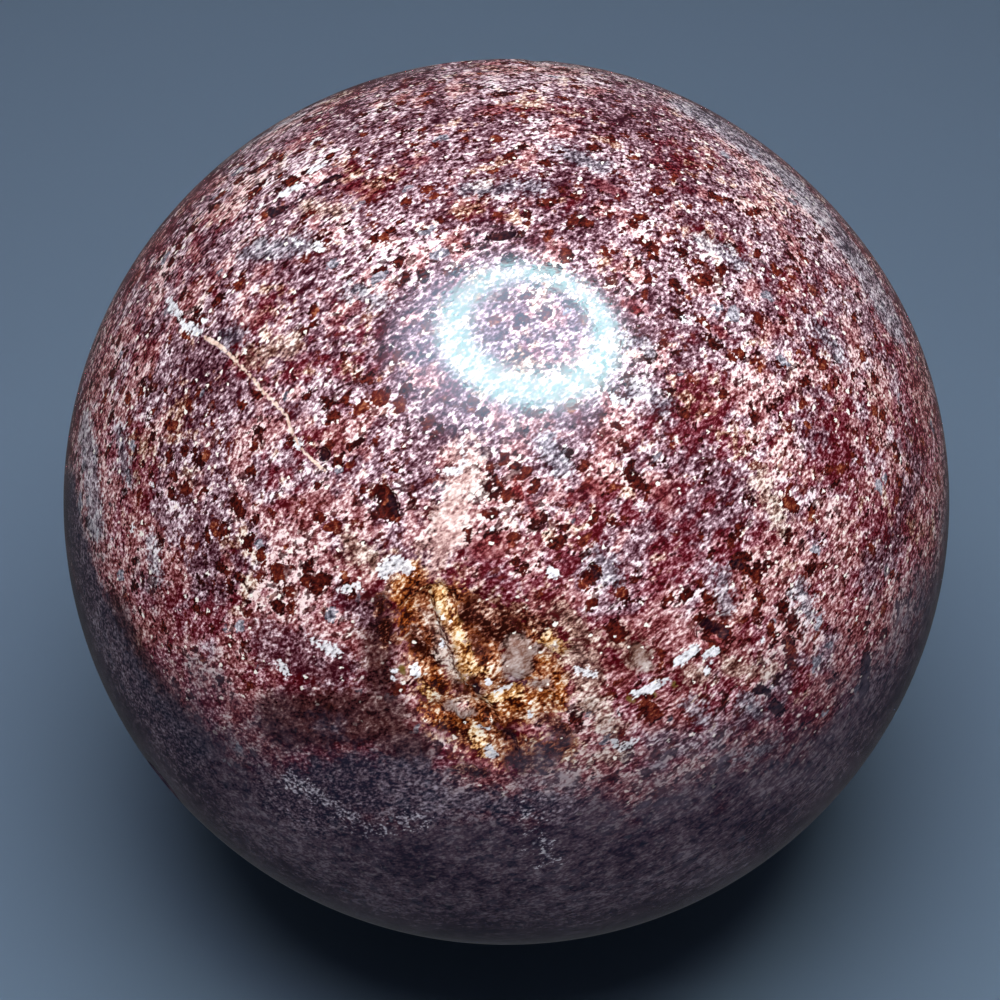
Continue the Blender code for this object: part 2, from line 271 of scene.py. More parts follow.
GARNETS = [
    (0.26, [(0.5, -3.4), (1.0, -4.0)]),
    (0.28, [(5.9, 0.6), (6.3, 0.9)]),
    (0.41, [(13.6, -3.5), (15.0, -4.5)]),
    (0.35, [(15.0, -5.6), (15.3, -5.9)]),
    (0.29, [(14.9, -6.5), (15.1, -7.1)]),
    (0.35, [(15.9, -7.5), (16.2, -8.0)]),
    (0.46, [(11.5, -6.9), (12.2, -7.5), (13.2, -7.9)]),
    (0.29, [(11.9, -8.2), (12.2, -8.5)]),
    (0.29, [(12.9, -8.2), (13.3, -8.4)]),
    (0.35, [(6.7, -5.3), (7.0, -5.6)]),
    (0.52, [(6.1, -7.4), (6.6, -7.8)]),
    (0.46, [(17.1, -8.4), (17.3, -9.3)]),
    (0.23, [(9.1, -9.0), (9.2, -10.0)]),
    (0.64, [(8.3, -12.1), (8.8, -12.7)]),
    (0.36, [(-18.9, 11.6), (-19.3, 11.7)]),
    (0.42, [(7.0, 1.6), (8.1, 0.8)]),
    (0.30, [(6.2, -1.2), (6.8, -1.0)]),
    (0.30, [(-0.9, 1.9), (-0.4, 0.8)]),
    (0.14, [(-2.2, -1.6), (-2.2, -2.4)]),
    (0.60, [(-7.3, 0.6), (-6.7, -0.7)]),
    (0.42, [(5.2, -4.0), (4.6, -4.9)]),
    (0.32, [(11.7, -5.5), (12.1, -6.0)]),
    (0.26, [(9.2, -6.1), (9.9, -5.6)]),
    (0.42, [(-16.3, 0.1), (-15.9, -0.6)]),
    (0.34, [(-16.6, -4.9), (-16.6, -5.6)]),
    (0.30, [(-13.3, -5.2), (-12.7, -5.5)]),
    (0.30, [(-18.9, 3.2), (-18.9, 2.5)]),
    (0.26, [(-18.1, -1.8), (-18.0, -2.4)]),
    (0.30, [(-21.9, 5.5), (-21.8, 4.7)]),
    (0.55, [(-11.2, -5.0), (-10.8, -4.6)]),
    (0.30, [(-9.5, -4.4), (-9.2, -5.6)]),
    (0.26, [(-18.7, -4.6), (-18.4, -5.0)]),
    (0.36, [(13.6, 8.6), (14.1, 8.9)]),
    (0.30, [(22.2, 7.5), (22.4, 6.9)]),
    (0.30, [(22.5, 4.1), (22.4, 3.5)]),
    (0.34, [(20.3, 1.9), (20.7, 2.2)]),
    (0.30, [(19.2, 1.9), (19.6, 2.1)]),
    (0.34, [(13.2, -2.5), (13.6, -2.0)]),
    (0.32, [(22.5, -2.6), (22.7, -3.2)]),
    (0.42, [(16.9, 0.1), (17.3, -0.3)]),
    (0.34, [(7.8, 24.5), (8.2, 24.4)]),
    (0.38, [(8.4, 23.0), (8.9, 22.8)]),
    (0.36, [(5.2, 21.9), (5.9, 21.7)]),
    (0.30, [(2.9, 21.6), (3.4, 21.5)]),
    (0.34, [(-6.4, 23.0), (-6.0, 23.1)]),
    (0.34, [(-0.8, 25.8), (0.6, 25.9)]),
    (0.30, [(-1.8, 24.1), (-1.1, 24.2)]),
    (0.34, [(2.1, 18.0), (2.8, 18.1)]),
    (0.38, [(4.2, 17.0), (5.0, 16.7)]),
    (0.36, [(8.3, 15.7), (8.9, 15.3)]),
    (0.28, [(16.1, 5.8), (15.8, 5.6)]),
    (0.30, [(10.3, 5.5), (10.6, 5.1)]),
    (0.30, [(12.0, 9.9), (12.3, 9.4)]),
    (0.30, [(11.5, 10.9), (12.0, 10.5)]),
    (0.34, [(-18.9, 11.7), (-18.8, 11.1)]),
    (0.30, [(-12.3, 17.5), (-12.0, 17.7)]),
    (0.28, [(-13.9, 20.0), (-13.6, 20.2)]),
]
DARK = [
    (0.36, [(-14.6, 18.0), (-13.4, 18.5), (-12.7, 18.9)]),
    (0.16, [(-17.1, 17.4), (-15.8, 17.8)]),
    (0.28, [(-12.2, 19.4), (-11.3, 19.8), (-10.4, 20.1)]),
    (0.34, [(-1.0, 15.85), (0.3, 16.2)]),
    (0.14, [(-1.8, 15.9), (-1.7, 16.0)]),
    (0.36, [(-10.9, 2.8), (-10.9, 2.9)]),
    (0.28, [(-6.8, 0.1), (-6.5, -0.6)]),
    (0.18, [(5.1, -4.0), (5.4, -4.3)]),
    (0.30, [(11.8, -7.2), (12.2, -7.4)]),
    (0.36, [(12.6, -7.6), (13.0, -7.9)]),
    (0.20, [(13.6, -3.6), (14.0, -3.8)]),
    (0.22, [(-1.9, -10.9), (-1.8, -11.2)]),
    (0.26, [(0.1, -14.0), (0.3, -14.4)]),
    (0.32, [(15.2, -11.3), (15.9, -11.6)]),
    (0.42, [(16.3, -12.3), (16.8, -12.9)]),
    (0.60, [(22.5, -9.9), (22.6, -11.9)]),
    (0.18, [(-22.2, 5.5), (-22.2, 4.7)]),
]
CREAM = [
    (0.93, [(-2.4, 2.7), (-2.6, 1.0), (-3.4, -0.8)]),
    (1.10, [(-3.3, -1.5), (-3.9, -2.5)]),
    (0.52, [(-4.1, -3.4), (-4.5, -4.1)]),
    (0.60, [(4.3, -9.2), (4.8, -10.2)]),
]
QUARTZ = [
    (0.90, [(0.7, -8.8), (0.6, -9.7)]),
    (0.52, [(7.9, -8.9), (8.2, -9.6)]),
    (0.26, [(1.7, -10.9), (2.5, -10.7)]),
    (0.34, [(-3.3, -12.4), (-2.4, -12.6)]),
]
RUST = [
    (1.10, [(-5.6, -4.6), (-5.0, -6.1), (-5.0, -8.1), (-4.6, -10.2), (-4.0, -12.6)]),
    (1.00, [(-4.6, -5.6), (-3.0, -5.8), (-1.9, -6.6)]),
    (1.15, [(-3.6, -13.0), (-2.2, -13.9), (-0.8, -14.6)]),
    (1.60, [(-2.2, -7.2), (-1.6, -9.8), (-0.8, -12.4)]),
    (1.10, [(0.0, -8.0), (1.8, -9.2), (2.6, -10.6)]),
    (1.35, [(-1.2, -12.2), (0.8, -12.2), (2.4, -11.6)]),
    (1.00, [(0.2, -15.2), (1.8, -14.9), (3.4, -14.6)]),
]
RUST_RED = [
    (0.52, [(-5.8, -4.1), (-6.4, -5.3), (-5.9, -6.3), (-6.0, -7.3)]),
    (0.46, [(-3.3, -6.1), (-2.9, -6.4)]),
    (0.52, [(-0.1, -12.3), (1.7, -11.8), (3.2, -11.1)]),
    (0.46, [(-4.4, -12.5), (-3.6, -13.3), (-1.7, -13.3)]),
    (0.35, [(1.1, -9.7), (1.4, -10.6)]),
    (0.35, [(2.1, -9.2), (2.3, -9.5)]),
    (0.41, [(2.9, -10.5), (3.3, -12.0)]),
    (0.46, [(-4.2, -10.2), (-4.0, -11.0)]),
]
RUST_BRIGHT = [
    (0.46, [(-4.2, -5.2), (-3.8, -6.2), (-3.2, -7.2)]),
    (0.46, [(-3.2, -7.2), (-2.6, -8.4), (-2.4, -9.4), (-2.7, -10.3)]),
    (0.29, [(-2.1, -9.8), (-1.2, -10.0)]),
    (0.35, [(-1.0, -11.7), (0.8, -11.2)]),
    (0.29, [(-1.9, -13.9), (-1.3, -15.1)]),
    (0.29, [(-5.1, -11.1), (-4.6, -11.7)]),
    (0.41, [(2.3, -8.1), (3.4, -8.7)]),
]
RUST_DARK = [
    (0.95, [(-1.8, -6.5), (-0.9, -7.2), (0.1, -7.9)]),
    (0.35, [(-1.9, -8.1), (-1.5, -8.8)]),
    (0.29, [(-2.1, -10.7), (-1.7, -11.2)]),
    (0.35, [(-5.4, -7.8), (-5.2, -8.6)]),
    (0.29, [(0.1, -14.0), (0.3, -14.4)]),
    (0.41, [(2.3, -13.2), (3.5, -13.6)]),
    (0.35, [(-7.4, -5.8), (-7.0, -8.1)]),
    (0.46, [(-2.8, -15.9), (-1.6, -16.2)]),
    (0.60, [(0.6, -15.6), (2.4, -15.6)]),
    (0.23, [(1.7, -8.6), (2.4, -8.8)]),
    (0.29, [(-3.0, -11.2), (-2.4, -11.7)]),
]
OLIVE = [
    (0.17, [(7.3, -11.7), (7.5, -11.8)]),
    (0.17, [(8.6, -11.4), (8.8, -11.6)]),
    (0.17, [(9.9, -10.7), (10.0, -10.9)]),
    (0.15, [(-6.2, -9.8), (-6.0, -10.2)]),
]
# Wide soft areas of painted shade: some of the ground is darker there, and the painted shade of the underside
# reaches further up
DIM_SHADE = [
    (3.50, [(-19.5, 7.0), (-17.5, -3.0)]),
    (1.80, [(9.0, -14.8), (14.5, -12.9), (19.5, -9.4)]),
    (2.00, [(23.5, -4.0), (26.0, 3.0)]),
]
SHADE = [
    (3.00, [(-28.6, -0.5), (-27.0, -5.5), (-24.5, -10.5), (-21.0, -15.0)]),
    (3.00, [(-13.0, -18.4), (-9.0, -17.2), (-5.5, -17.6)]),
    (1.60, [(-4.5, -17.9), (-1.0, -18.2), (3.0, -18.3)]),
    (0.50, [(-11.2, -13.4), (-10.2, -13.6)]),
    (0.60, [(25.5, -8.0), (23.5, -11.5)]),
]
# Dull dark patches: partly the rock's own darker zone, partly painted shade along the left side and the edge
# of the underside
DULL_AND_SHADE = [
    (1.10, [(-7.8, -6.4), (-7.6, -9.0), (-7.6, -11.0)]),
    (2.10, [(-13.4, -13.4), (-10.0, -12.9), (-7.6, -12.8)]),
    (1.60, [(-8.4, -12.6), (-5.8, -14.8)]),
    (1.60, [(-24.6, -7.0), (-22.5, -11.0), (-19.5, -15.0)]),
]
MARKS = {
    "vein": VEIN, "white": WHITE, "pale": PALE, "smoky": SMOKY, "crimson": CRIMSON, "lavender": LAVENDER,
    "tan": TAN, "belt_crystals": BELT_CRYSTALS, "garnets": GARNETS, "dark": DARK, "cream": CREAM,
    "quartz": QUARTZ, "rust": RUST, "rust_red": RUST_RED, "rust_bright": RUST_BRIGHT, "rust_dark": RUST_DARK,
    "olive": OLIVE, "dim_shade": DIM_SHADE, "shade": SHADE, "dull_and_shade": DULL_AND_SHADE,
}
# How far around a marking, in millimetres, the distance to it is known
MARK_REACH = 3.0

# The camera, the lamp and the floor
CAMERA_DISTANCE = 200.0 * MM
CAMERA_LENS = 105.1
CAMERA_SHIFT = (-0.0064, 0.0018)
LAMP_HEIGHT = 238.0 * MM
LAMP_PLACE = (20.0 * MM, -14.0 * MM, LAMP_HEIGHT)
LAMP_INNER = 49.0 * MM
LAMP_OUTER = 75.0 * MM
LAMP_TILT = math.radians(33)
LAMP_CORNERS = 96
LAMP_GLOW = 39.0
LAMP_COLOUR = (0.56, 0.93, 1.0, 1.0)
HALO_OFFSET = (-20.0 * MM, 1.0 * MM, 5.0 * MM)
HALO_REACH = (62.0 * MM, 124.0 * MM)
HALO_GLOW = 13.5
HALO_COLOUR = (0.50, 0.72, 1.0, 1.0)
KEY_PLACE = (0.0, -16.0 * MM)
KEY_RADIUS = 106.0 * MM
KEY_GLOW = 2.4
KEY_COLOUR = (1.0, 0.98, 0.99, 1.0)
# Soft panels round the ball: azimuth from the front in degrees and brightness
PANELS = {"front": (0, 5.5), "right": (75, 2.5), "left": (-75, 1.2), "back": (180, 3.6)}
PANEL_DISTANCE = 500.0 * MM
PANEL_ELEVATION = math.radians(45)
PANEL_SIZE = 300.0 * MM
SKY_COLOUR = (0.80, 0.88, 1.0, 1.0)
SKY_STRENGTH = 0.05
FLOOR_SIZE = 3.0
FLOOR_COLOUR = (0.26, 0.37, 0.53, 1.0)
FLOOR_ROUGHNESS = 0.7


def on_face(place):
    """Unit direction, from the ball's centre, of a place given in millimetres on the marked face."""
    right, up = place[0] * MM, place[1] * MM
    towards = math.sqrt(BALL_RADIUS ** 2 - right ** 2 - up ** 2)
    return (FACE_TURN @ Vector((right, up, towards))).normalized()


def smooth_step(value):
    value = np.clip(value, 0.0, 1.0)
    return value * value * (3 - 2 * value)


def along(directions, middle):
    """Distance over the ball's skin from each direction to one direction."""
    return BALL_RADIUS * np.arccos(np.clip(directions @ np.array(middle), -1.0, 1.0))


def lumps(directions, size, near):
    """Noise of the given lump size at the directions where near is true, and zero elsewhere."""
    values = np.zeros(len(directions))
    for index in np.flatnonzero(near):
        values[index] = noise.noise(Vector(directions[index]) * (BALL_RADIUS / size))
    return values


def axes_over_skin(middle, turn):
    """Two unit directions over the skin at a place: one at a turn from the face's level, one across it."""
    level = (FACE_RIGHT - middle * middle.dot(FACE_RIGHT)).normalized()
    lengthways = Matrix.Rotation(math.radians(turn), 3, middle) @ level
    return lengthways, lengthways.cross(middle)


def oval_reach(directions, middle, half_length, half_width, turn):
    """0 at the middle of an oval on the skin and 1 on its outline, in units of its half axes."""
    lengthways, sideways = axes_over_skin(middle, turn)
    offset = (directions - np.array(middle)) * BALL_RADIUS
    return np.hypot(offset @ np.array(lengthways) / half_length, offset @ np.array(sideways) / half_width)


def bowl(directions, lobe):
    """Depth of a round lobe at each direction: flat inside, with a smooth wall around its radius."""
    place, radius, depth, wall = lobe
    inside = (radius + wall / 2) * MM - along(directions, on_face(place))
    return depth * MM * smooth_step(inside / (wall * MM))


def back_pits():
    """Seeded pits over the part of the ball that is neither the marked face nor the foot."""
    chance = random.Random(BACK_PIT_SEED)
    pits = []
    while len(pits) < BACK_PIT_COUNT:
        direction = Vector([chance.gauss(0, 1) for axis in range(3)]).normalized()
        half_length = chance.uniform(*BACK_PIT_HALF_LENGTH)
        half_width = half_length * chance.uniform(*BACK_PIT_SLIMNESS)
        turn = chance.uniform(0, 180)
        depth = chance.uniform(*BACK_PIT_DEPTH)
        clear = direction.angle(FACE_AXIS) > KEEP_OFF_FACE and direction.angle(DOWN) > KEEP_OFF_FOOT
        apart = all(direction.angle(pit[0]) > KEEP_APART for pit in pits)
        if clear and apart:
            pits.append((direction, half_length, half_width, turn, depth))
    return pits


PITS = [(on_face(place), *shape) for place, *shape in FACE_PITS.values()] + back_pits()
HOLLOW = on_face(HOLLOW_MIDDLE)
CREST = on_face(CREST_MIDDLE)
SHOULDER = on_face(SHOULDER_MIDDLE)


def pit_depth(directions, pit):
    middle, half_length, half_width, turn, depth = pit
    near = along(directions, middle) < 2 * half_length * MM
    reach = oval_reach(directions, middle, half_length * MM, half_width * MM, turn)
    reach += PIT_UNEVENNESS * lumps(directions, PIT_LUMP_SIZE, near)
    depths = depth * MM * smooth_step((1 + PIT_WALL_SHARE / 2 - reach) / PIT_WALL_SHARE)
    return np.where(near, depths, 0.0)


def distance_to_line(points, line):
    """Shortest distance from each point to a line of points."""
    best = np.full(len(points), np.inf)
    for start, end in zip(line, line[1:]):
        run = np.array(end - start)
        share = np.clip((points - np.array(start)) @ run / (run @ run), 0.0, 1.0)
        gap = points - np.array(start) - share[:, None] * run
        best = np.minimum(best, np.linalg.norm(gap, axis=1))
    return best


def hollow_depth(directions):
    """Depth of the rusty hollow, with its rough floor, small holes, ridge and crystal heads."""
    depth = np.max([bowl(directions, lobe) for lobe in HOLLOW_LOBES], axis=0)
    depth[along(directions, HOLLOW) > HOLLOW_REACH] = 0.0
    cut = depth > 0.0
    share = np.minimum(1.0, depth / (2 * HOLLOW_ROUGHNESS))
    depth += share * HOLLOW_ROUGHNESS * lumps(directions, HOLLOW_LUMP_SIZE, cut)
    depth += share * np.max([bowl(directions, hole) for hole in HOLLOW_HOLES], axis=0)
    ridge = [on_face(place) * BALL_RADIUS for place in RIDGE]
    beside = distance_to_line(directions * BALL_RADIUS, ridge)
    raised = smooth_step(RIDGE_STEEPNESS - beside / RIDGE_HALF_WIDTH)
    for place, radius in HEADS:
        head = smooth_step(HEAD_STEEPNESS * (1 - along(directions, on_face(place)) / (radius * MM)))
        raised = np.maximum(raised, head)
    return np.maximum(0.0, depth + raised * (np.minimum(depth, HEAD_TOP) - depth))


def crest_depth(directions):
    """Chips on the rough crest: only the dips of the noise are cut."""
    share = smooth_step(CREST_STEEPNESS * (1 - along(directions, CREST) / CREST_REACH))
    dips = lumps(directions, CREST_LUMP_SIZE, share > 0) + CREST_CHIPPED
    return share * CREST_DEPTH * np.maximum(0.0, dips)


def shoulder_depth(directions):
    return SHOULDER_DEPTH * smooth_step(1 - along(directions, SHOULDER) / SHOULDER_REACH)


def relief(directions):
    """How far the skin lies below the true ball at each direction."""
    pits = np.max([pit_depth(directions, pit) for pit in PITS], axis=0)
    return np.maximum(pits, hollow_depth(directions)) + crest_depth(directions) + shoulder_depth(directions)


def edge_lengths(directions):
    """Longest edge that the skin may have at each direction."""
    past_face = np.maximum(0.0, along(directions, FACE_AXIS) - FACE_REACH)
    past_hollow = np.maximum(0.0, along(directions, HOLLOW) - HOLLOW_REACH)
    past_crest = np.maximum(0.0, along(directions, CREST) - CREST_REACH)
    past_rim = np.abs(along(directions, DOWN) - FOOT_REACH)
    lengths = np.minimum(FACE_EDGE + past_face, HOLLOW_EDGE + EDGE_GROWTH * past_hollow)
    lengths = np.minimum(lengths, CREST_EDGE + EDGE_GROWTH * past_crest)
    lengths = np.minimum(lengths, FOOT_EDGE + EDGE_GROWTH * past_rim)
    for pit in PITS:
        past_pit = np.maximum(0.0, along(directions, pit[0]) - PIT_SURROUNDINGS * pit[1] * MM)
        lengths = np.minimum(lengths, PIT_EDGE + EDGE_GROWTH * past_pit)
    return lengths


def vert_places(mesh):
    return np.array([vert.co for vert in mesh.verts])


def long_edges(mesh):
    places = vert_places(mesh)
    directions = places / np.linalg.norm(places, axis=1)[:, None]
    allowed = edge_lengths(directions)
    ends = np.array([(edge.verts[0].index, edge.verts[1].index) for edge in mesh.edges])
    spans = np.linalg.norm(places[ends[:, 0]] - places[ends[:, 1]], axis=1)
    too_long = spans > EDGE_EXCESS * np.minimum(allowed[ends[:, 0]], allowed[ends[:, 1]])
    mesh.edges.ensure_lookup_table()
    return [mesh.edges[index] for index in np.flatnonzero(too_long)]


def refine(mesh):
    """Split the edges that are too long, keeping every point on the true ball."""
    mesh.verts.index_update()
    splitting = long_edges(mesh)
    while splitting:
        bmesh.ops.subdivide_edges(mesh, edges=splitting, cuts=1)
        bmesh.ops.triangulate(mesh, faces=[face for face in mesh.faces if len(face.verts) > 3])
        for vert in mesh.verts:
            vert.co = vert.co.normalized() * BALL_RADIUS
        mesh.verts.index_update()
        splitting = long_edges(mesh)


def move_to_rim(vert):
    """Put a point on the outline of the foot, keeping its bearing."""
    bearing = Vector((vert.co.x, vert.co.y, 0)).normalized()
    vert.co = bearing * FOOT_RADIUS + DOWN * CENTRE_HEIGHT


def cut_foot(mesh):
    """Cut the underside off flat and close it; points close to the cut go to its outline first."""
    for vert in mesh.verts:
        if abs(BALL_RADIUS * vert.co.angle(DOWN) - FOOT_REACH) < RIM_SNAP * FOOT_EDGE:
            move_to_rim(vert)
    everything = mesh.verts[:] + mesh.edges[:] + mesh.faces[:]
    bmesh.ops.bisect_plane(
        mesh, geom=everything, dist=CUT_TOLERANCE,
        plane_co=(0, 0, -CENTRE_HEIGHT), plane_no=(0, 0, -1), clear_outer=True,
    )
    rim = [edge for edge in mesh.edges if edge.is_boundary]
    for edge in rim:
        edge.smooth = False
        for vert in edge.verts:
            move_to_rim(vert)
    bmesh.ops.contextual_create(mesh, geom=rim)


def mark_depths(directions, marks):
    """How deep each direction lies inside a kind of marking, in millimetres; outside it is below zero."""
    points = directions * BALL_RADIUS
    depths = np.full(len(points), -MARK_REACH)
    for half_width, places in marks:
        line = [on_face(place) * BALL_RADIUS for place in places]
        reach = (MARK_REACH + half_width) * MM + sum((b - a).length for a, b in zip(line, line[1:]))
        near = np.linalg.norm(points - np.array(line[0]), axis=1) < reach
        inside = half_width - distance_to_line(points[near], line) / MM
        depths[near] = np.maximum(depths[near], inside)
    return depths


def give_attribute(data, name, values):
    attribute = data.attributes.new(name, "FLOAT", "POINT")
    attribute.data.foreach_set("value", values)


def give_marks(data):
    """Writes the markings and the unpolished places on the skin's points."""
    places = np.array([vert.co for vert in data.vertices]) - np.array((0, 0, CENTRE_HEIGHT))
    directions = places / np.linalg.norm(places, axis=1)[:, None]
    for name, marks in MARKS.items():
        give_attribute(data, name, mark_depths(directions, marks))
    give_attribute(data, "matt", matt_share(directions))


def matt_share(directions):
    """1 where the skin is not polished: in the rusty hollow, and in each pit and on its rim."""
    share = smooth_step(hollow_depth(directions) / MATT_DEPTH)
    for middle, half_length, half_width, turn, depth in PITS:
        reach = oval_reach(directions, middle, half_length * MM, half_width * MM, turn)
        near = along(directions, middle) < BALL_RADIUS
        share = np.maximum(share, np.where(near, smooth_step((MATT_RIM - reach) / PIT_WALL_SHARE), 0.0))
    return share


def make_ball_skin():
    """The ball's fine skin, with its pits, its rusty hollow and its rough crest."""
    mesh = bmesh.new()
    bmesh.ops.create_icosphere(mesh, subdivisions=SKIN_SUBDIVISIONS, radius=BALL_RADIUS)
    refine(mesh)
    directions = vert_places(mesh) / BALL_RADIUS
    depths = relief(directions)
    for vert, depth in zip(mesh.verts, depths):
        vert.co = vert.co * (1 - depth / BALL_RADIUS)
    cut_foot(mesh)
    bmesh.ops.translate(mesh, verts=mesh.verts, vec=(0, 0, CENTRE_HEIGHT))
    bmesh.ops.recalc_face_normals(mesh, faces=mesh.faces)
    data = bpy.data.meshes.new("garnet_ball_skin")
    mesh.to_mesh(data)
    mesh.free()
    data.shade_smooth()
    give_marks(data)
    return data


def new_node(tree, kind, inputs=(), **settings):
    """Adds a shader node; an input is a number, a colour or another node's output."""
    node = tree.nodes.new("ShaderNode" + kind)
    for name, value in settings.items():
        setattr(node, name, value)
    for name, value in dict(inputs).items():
        socket = node.inputs[name]
        if isinstance(value, bpy.types.NodeSocket):
            tree.links.new(value, socket)
        else:
            socket.default_value = value
    return node


def math_node(tree, operation, first, second=0.0):
    return new_node(tree, "Math", {0: first, 1: second}, operation=operation).outputs[0]


def ramp(tree, value, stops):
    """A colour for each value: stops are (position, colour)."""
    node = new_node(tree, "ValToRGB", {"Fac": value})
    while len(node.color_ramp.elements) < len(stops):
        node.color_ramp.elements.new(0.5)
    for element, (position, colour) in zip(node.color_ramp.elements, stops):
        element.position = position
        element.color = (*colour, 1.0)
    return node.outputs["Color"]


def mix_colour(tree, share, first, second):
    """The first colour where the share is 0, the second where it is 1."""
    node = new_node(tree, "Mix", {0: share, 6: first, 7: second}, data_type="RGBA")
    return node.outputs[2]


def spread(tree, value, low, high):
    """0 below low, 1 above high, smooth between."""
    node = new_node(tree, "MapRange", {"Value": value, "From Min": low, "From Max": high},
                    interpolation_type="SMOOTHSTEP")
    return node.outputs["Result"]


# Grain tones, from the darkest grains to the brightest flecks
CRIMSON_TONES = [
    (0.02, (0.056, 0.001, 0.003)),
    (0.20, (0.112, 0.008, 0.016)),
    (0.36, (0.180, 0.034, 0.050)),
    (0.50, (0.285, 0.092, 0.118)),
    (0.64, (0.460, 0.205, 0.248)),
    (0.80, (0.760, 0.465, 0.520)),
    (0.98, (1.000, 0.860, 0.890)),
]
MAUVE_TONES = [
    (0.02, (0.026, 0.002, 0.007)),
    (0.20, (0.072, 0.018, 0.028)),
    (0.36, (0.135, 0.058, 0.080)),
    (0.50, (0.240, 0.130, 0.165)),
    (0.64, (0.410, 0.260, 0.310)),
    (0.80, (0.700, 0.530, 0.600)),
    (0.98, (0.990, 0.900, 0.950)),
]
GREY_TONES = [
    (0.02, (0.024, 0.020, 0.032)),
    (0.36, (0.140, 0.128, 0.165)),
    (0.64, (0.430, 0.410, 0.480)),
    (0.98, (0.900, 0.900, 0.960)),
]
BROWN_TONES = [
    (0.02, (0.016, 0.002, 0.001)),
    (0.20, (0.060, 0.010, 0.006)),
    (0.36, (0.150, 0.042, 0.026)),
    (0.50, (0.270, 0.115, 0.080)),
    (0.64, (0.460, 0.270, 0.205)),
    (0.80, (0.760, 0.570, 0.480)),
    (0.98, (0.980, 0.880, 0.800)),
]
RUST_TONES = [
    (0.02, (0.016, 0.002, 0.001)),
    (0.20, (0.070, 0.012, 0.003)),
    (0.40, (0.210, 0.040, 0.007)),
    (0.56, (0.370, 0.105, 0.022)),
    (0.72, (0.560, 0.270, 0.110)),
    (0.98, (0.940, 0.820, 0.660)),
]
RUST_BODY_TONES = [
    (0.02, (0.016, 0.002, 0.001)),
    (0.20, (0.067, 0.011, 0.004)),
    (0.36, (0.172, 0.037, 0.012)),
    (0.40, (0.202, 0.047, 0.017)),
    (0.50, (0.298, 0.091, 0.035)),
    (0.56, (0.364, 0.128, 0.055)),
    (0.64, (0.464, 0.212, 0.108)),
    (0.72, (0.575, 0.315, 0.180)),
    (0.80, (0.702, 0.478, 0.339)),
    (0.98, (0.952, 0.838, 0.702)),
]
ROSE_TONES = [
    (0.02, (0.060, 0.005, 0.006)),
    (0.30, (0.190, 0.040, 0.042)),
    (0.50, (0.350, 0.125, 0.130)),
    (0.70, (0.560, 0.290, 0.295)),
    (0.98, (1.000, 0.800, 0.790)),
]
CREAM_TONES = [
    (0.02, (0.120, 0.045, 0.045)),
    (0.36, (0.420, 0.225, 0.215)),
    (0.64, (0.780, 0.540, 0.500)),
    (0.98, (1.000, 0.920, 0.890)),
]
TAN_TONES = [
    (0.02, (0.040, 0.012, 0.008)),
    (0.36, (0.200, 0.100, 0.080)),
    (0.60, (0.480, 0.300, 0.240)),
    (0.98, (0.980, 0.880, 0.800)),
]
BRIGHT_RUST_TONES = [
    (0.02, (0.100, 0.020, 0.004)),
    (0.30, (0.330, 0.120, 0.028)),
    (0.52, (0.680, 0.380, 0.150)),
    (0.72, (0.950, 0.740, 0.460)),
    (0.98, (1.000, 0.930, 0.780)),
]
QUARTZ_TONES = [
    (0.00, (0.200, 0.100, 0.075)),
    (0.25, (0.400, 0.295, 0.265)),
    (0.60, (0.680, 0.600, 0.580)),
]
RED_TONES = [
    (0.05, (0.040, 0.001, 0.003)),
    (0.40, (0.170, 0.008, 0.013)),
    (0.65, (0.330, 0.050, 0.055)),
    (0.95, (0.800, 0.440, 0.430)),
]
DULL_AND_SHADE_TONES = [
    (0.05, (0.010, 0.002, 0.003)),
    (0.35, (0.046, 0.010, 0.010)),
    (0.60, (0.105, 0.034, 0.030)),
    (0.80, (0.270, 0.150, 0.140)),
    (0.98, (0.700, 0.540, 0.530)),
]
# Tones of the painted shade of the underside
PAINTED_SHADE_TONES = [
    (0.00, (0.011, 0.013, 0.028)),
    (0.20, (0.052, 0.044, 0.066)),
    (0.40, (0.124, 0.102, 0.138)),
    (0.70, (0.330, 0.290, 0.360)),
]
PALE_TONES = [
    (0.10, (0.070, 0.055, 0.060)),
    (0.30, (0.360, 0.340, 0.360)),
    (0.50, (0.600, 0.610, 0.660)),
    (0.85, (0.940, 0.950, 0.990)),
]
VEIN_TONES = [
    (0.10, (0.400, 0.210, 0.150)),
    (0.40, (0.720, 0.510, 0.410)),
    (0.80, (0.970, 0.850, 0.770)),
]
DARK_TONES = [
    (0.25, (0.008, 0.002, 0.005)),
    (0.50, (0.030, 0.007, 0.010)),
    (0.75, (0.085, 0.018, 0.016)),
    (0.98, (0.240, 0.140, 0.130)),
]
GARNET_TONES = [
    (0.05, (0.018, 0.002, 0.002)),
    (0.30, (0.050, 0.005, 0.004)),
    (0.55, (0.105, 0.012, 0.008)),
    (0.75, (0.160, 0.026, 0.013)),
    (0.95, (0.360, 0.120, 0.060)),
]
SPARK_COLOUR = (0.97, 0.93, 0.86, 1.0)
OLIVE_TONES = [
    (0.00, (0.160, 0.110, 0.020)),
    (1.00, (0.160, 0.110, 0.020)),
]

# The rock is layered: its grains are flat.
# The way that their flat sides face is given as right, up and towards the viewer.
LAYERS_FACE = (-0.27, 0.35, -0.90)
LONG_TURN = math.radians(38)
# Length, width and thickness of the grains
FLECK_SIZE = (0.33 * MM, 0.19 * MM, 0.20 * MM)
SPECK_SIZE = (0.72 * MM, 0.52 * MM, 0.46 * MM)
GARNET_SIZE = (1.40 * MM, 1.20 * MM, 1.10 * MM)
SPARK_SPACING = 0.75 * MM

# Noise in the shape of the grains: size of the grain, then scale, detail and roughness of the noise
GRAIN_NOISES = {
    "strokes": (FLECK_SIZE, 1.0, 2.0, 0.6),
    "clumps": (FLECK_SIZE, 0.28, 2.0, 0.6),
    "specks": (SPECK_SIZE, 1.0, 1.0, 0.5),
}
